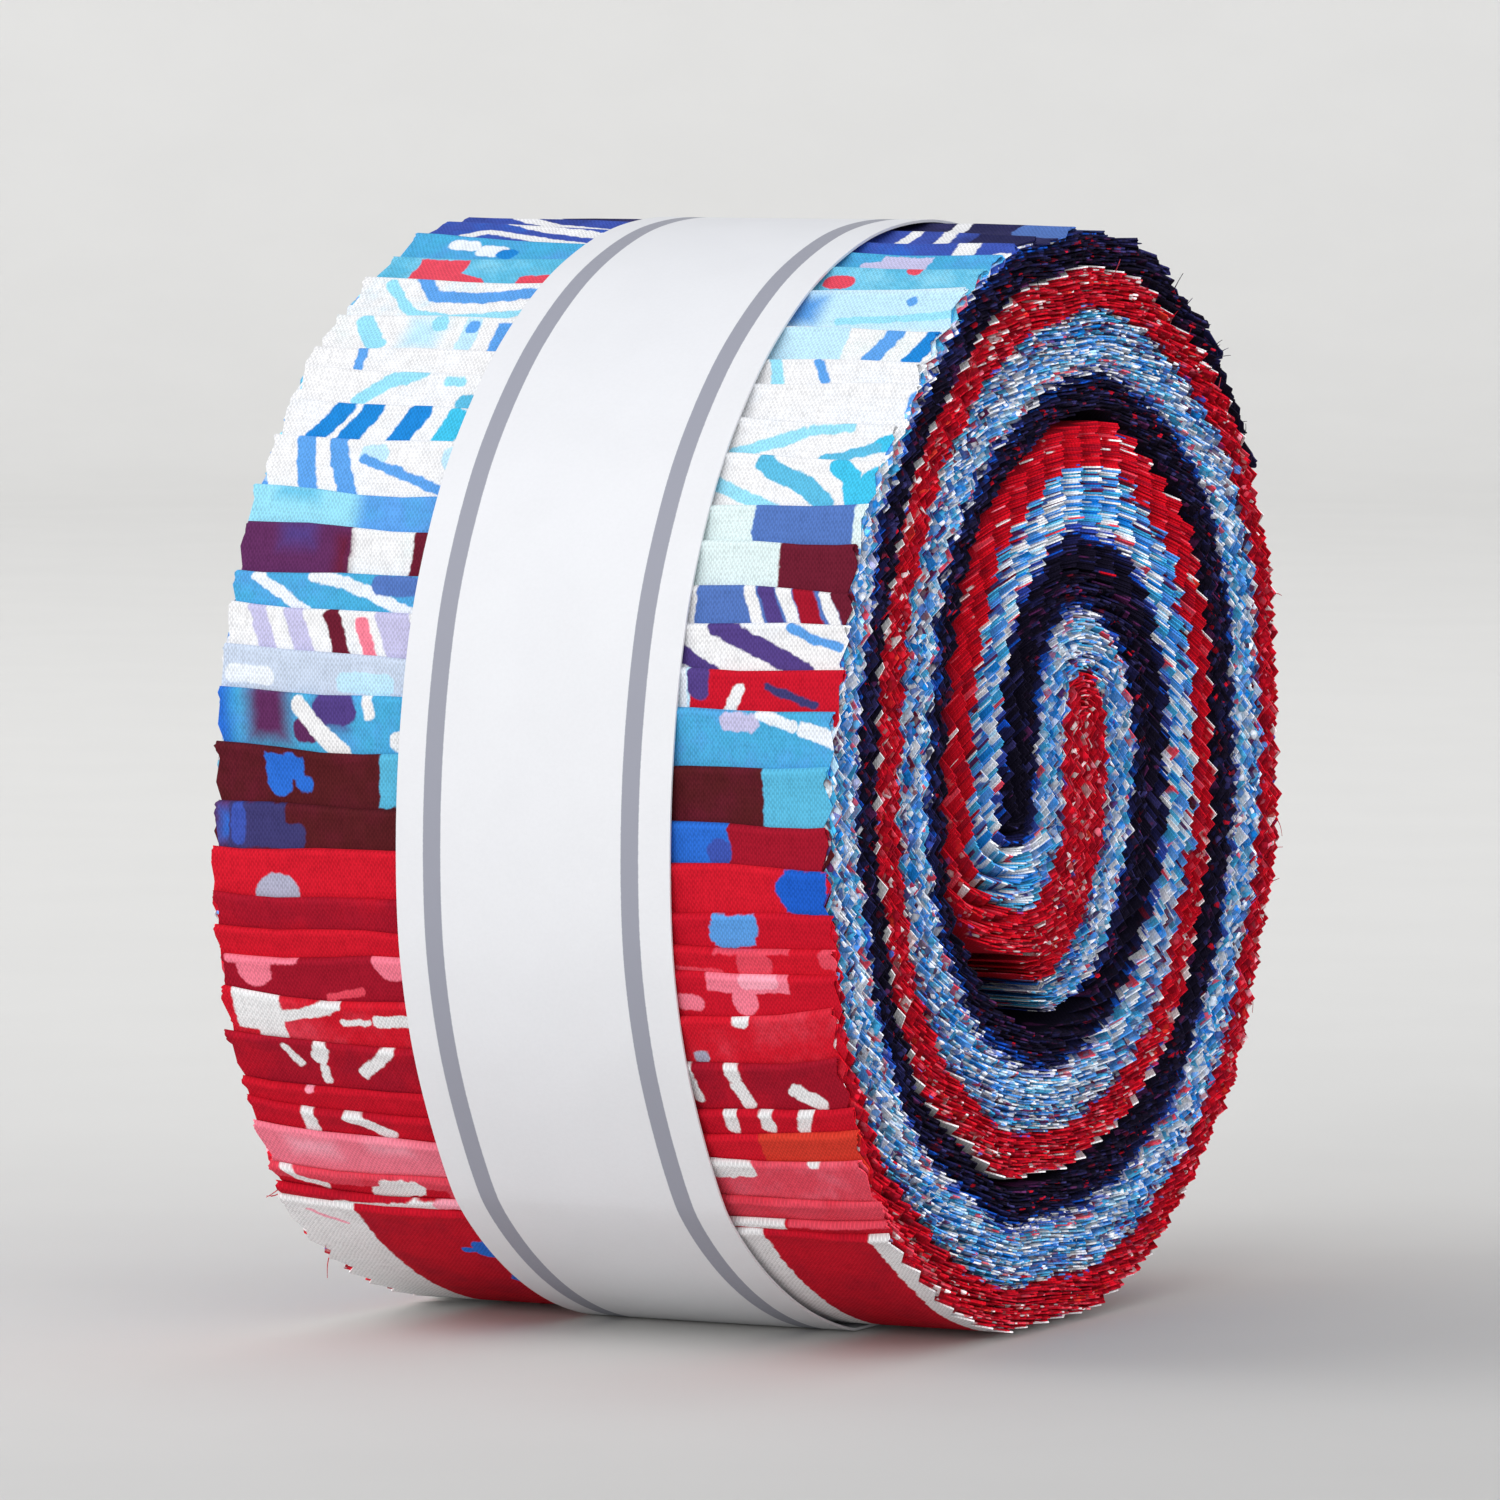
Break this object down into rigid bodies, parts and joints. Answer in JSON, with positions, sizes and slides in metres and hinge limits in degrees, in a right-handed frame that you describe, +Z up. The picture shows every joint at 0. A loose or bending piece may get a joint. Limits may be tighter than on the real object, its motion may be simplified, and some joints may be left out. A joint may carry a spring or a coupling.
{
  "type": "fabric strip roll",
  "caption": "Rolled bundle of folded cotton quilting strips with pinked edges, their folds overlapping like tiles up one side, held by a paper band that slides off.",
  "frame": {"origin": "middle of the underside, on the surface that the roll lies on", "axes": "+X along the roll's axis towards the end whose coils the paper band lies nearer to; -Y the side that the folded ends run up; +Z up"},
  "size_m": [0.0636, 0.1004, 0.1034],
  "materials": {
    "strip_01": "matte woven cotton",
    "strip_02": "matte woven cotton",
    "strip_03": "matte woven cotton",
    "strip_04": "matte woven cotton",
    "strip_05": "matte woven cotton",
    "strip_06": "matte woven cotton",
    "strip_07": "matte woven cotton",
    "strip_08": "matte woven cotton",
    "strip_09": "matte woven cotton",
    "strip_10": "matte woven cotton",
    "strip_11": "matte woven cotton",
    "strip_12": "matte woven cotton",
    "strip_13": "matte woven cotton",
    "strip_14": "matte woven cotton",
    "strip_15": "matte woven cotton",
    "strip_16": "matte woven cotton",
    "strip_17": "matte woven cotton",
    "strip_18": "matte woven cotton",
    "strip_19": "matte woven cotton",
    "strip_20": "matte woven cotton",
    "strip_21": "matte woven cotton",
    "strip_22": "matte woven cotton",
    "strip_23": "matte woven cotton",
    "strip_24": "matte woven cotton",
    "strip_25": "matte woven cotton",
    "strip_26": "matte woven cotton",
    "strip_27": "matte woven cotton",
    "strip_28": "matte woven cotton",
    "strip_29": "matte woven cotton",
    "strip_30": "matte woven cotton",
    "strip_31": "matte woven cotton",
    "strip_32": "matte woven cotton",
    "strip_33": "matte woven cotton",
    "strip_34": "matte woven cotton",
    "strip_35": "matte woven cotton",
    "strip_36": "matte woven cotton",
    "strip_37": "matte woven cotton",
    "strip_38": "matte woven cotton",
    "strip_39": "matte woven cotton",
    "strip_40": "matte woven cotton",
    "belly_band": "smooth white paper with two grey lines",
    "band_glue": "dried paper glue"
  },
  "bodies": {
    "roll": {"strip_01": "strip_01", "strip_02": "strip_02", "strip_03": "strip_03", "strip_04": "strip_04", "strip_05": "strip_05", "strip_06": "strip_06", "strip_07": "strip_07", "strip_08": "strip_08", "strip_09": "strip_09", "strip_10": "strip_10", "strip_11": "strip_11", "strip_12": "strip_12", "strip_13": "strip_13", "strip_14": "strip_14", "strip_15": "strip_15", "strip_16": "strip_16", "strip_17": "strip_17", "strip_18": "strip_18", "strip_19": "strip_19", "strip_20": "strip_20", "strip_21": "strip_21", "strip_22": "strip_22", "strip_23": "strip_23", "strip_24": "strip_24", "strip_25": "strip_25", "strip_26": "strip_26", "strip_27": "strip_27", "strip_28": "strip_28", "strip_29": "strip_29", "strip_30": "strip_30", "strip_31": "strip_31", "strip_32": "strip_32", "strip_33": "strip_33", "strip_34": "strip_34", "strip_35": "strip_35", "strip_36": "strip_36", "strip_37": "strip_37", "strip_38": "strip_38", "strip_39": "strip_39", "strip_40": "strip_40"},
    "band": {"belly_band": "belly_band", "band_glue": "band_glue"}
  },
  "joints": [
    {"name": "band_slide", "type": "slide", "parent": "roll", "child": "band", "axis": [1, 0, 0], "range_m": [-0.05, 0.05]}
  ]
}
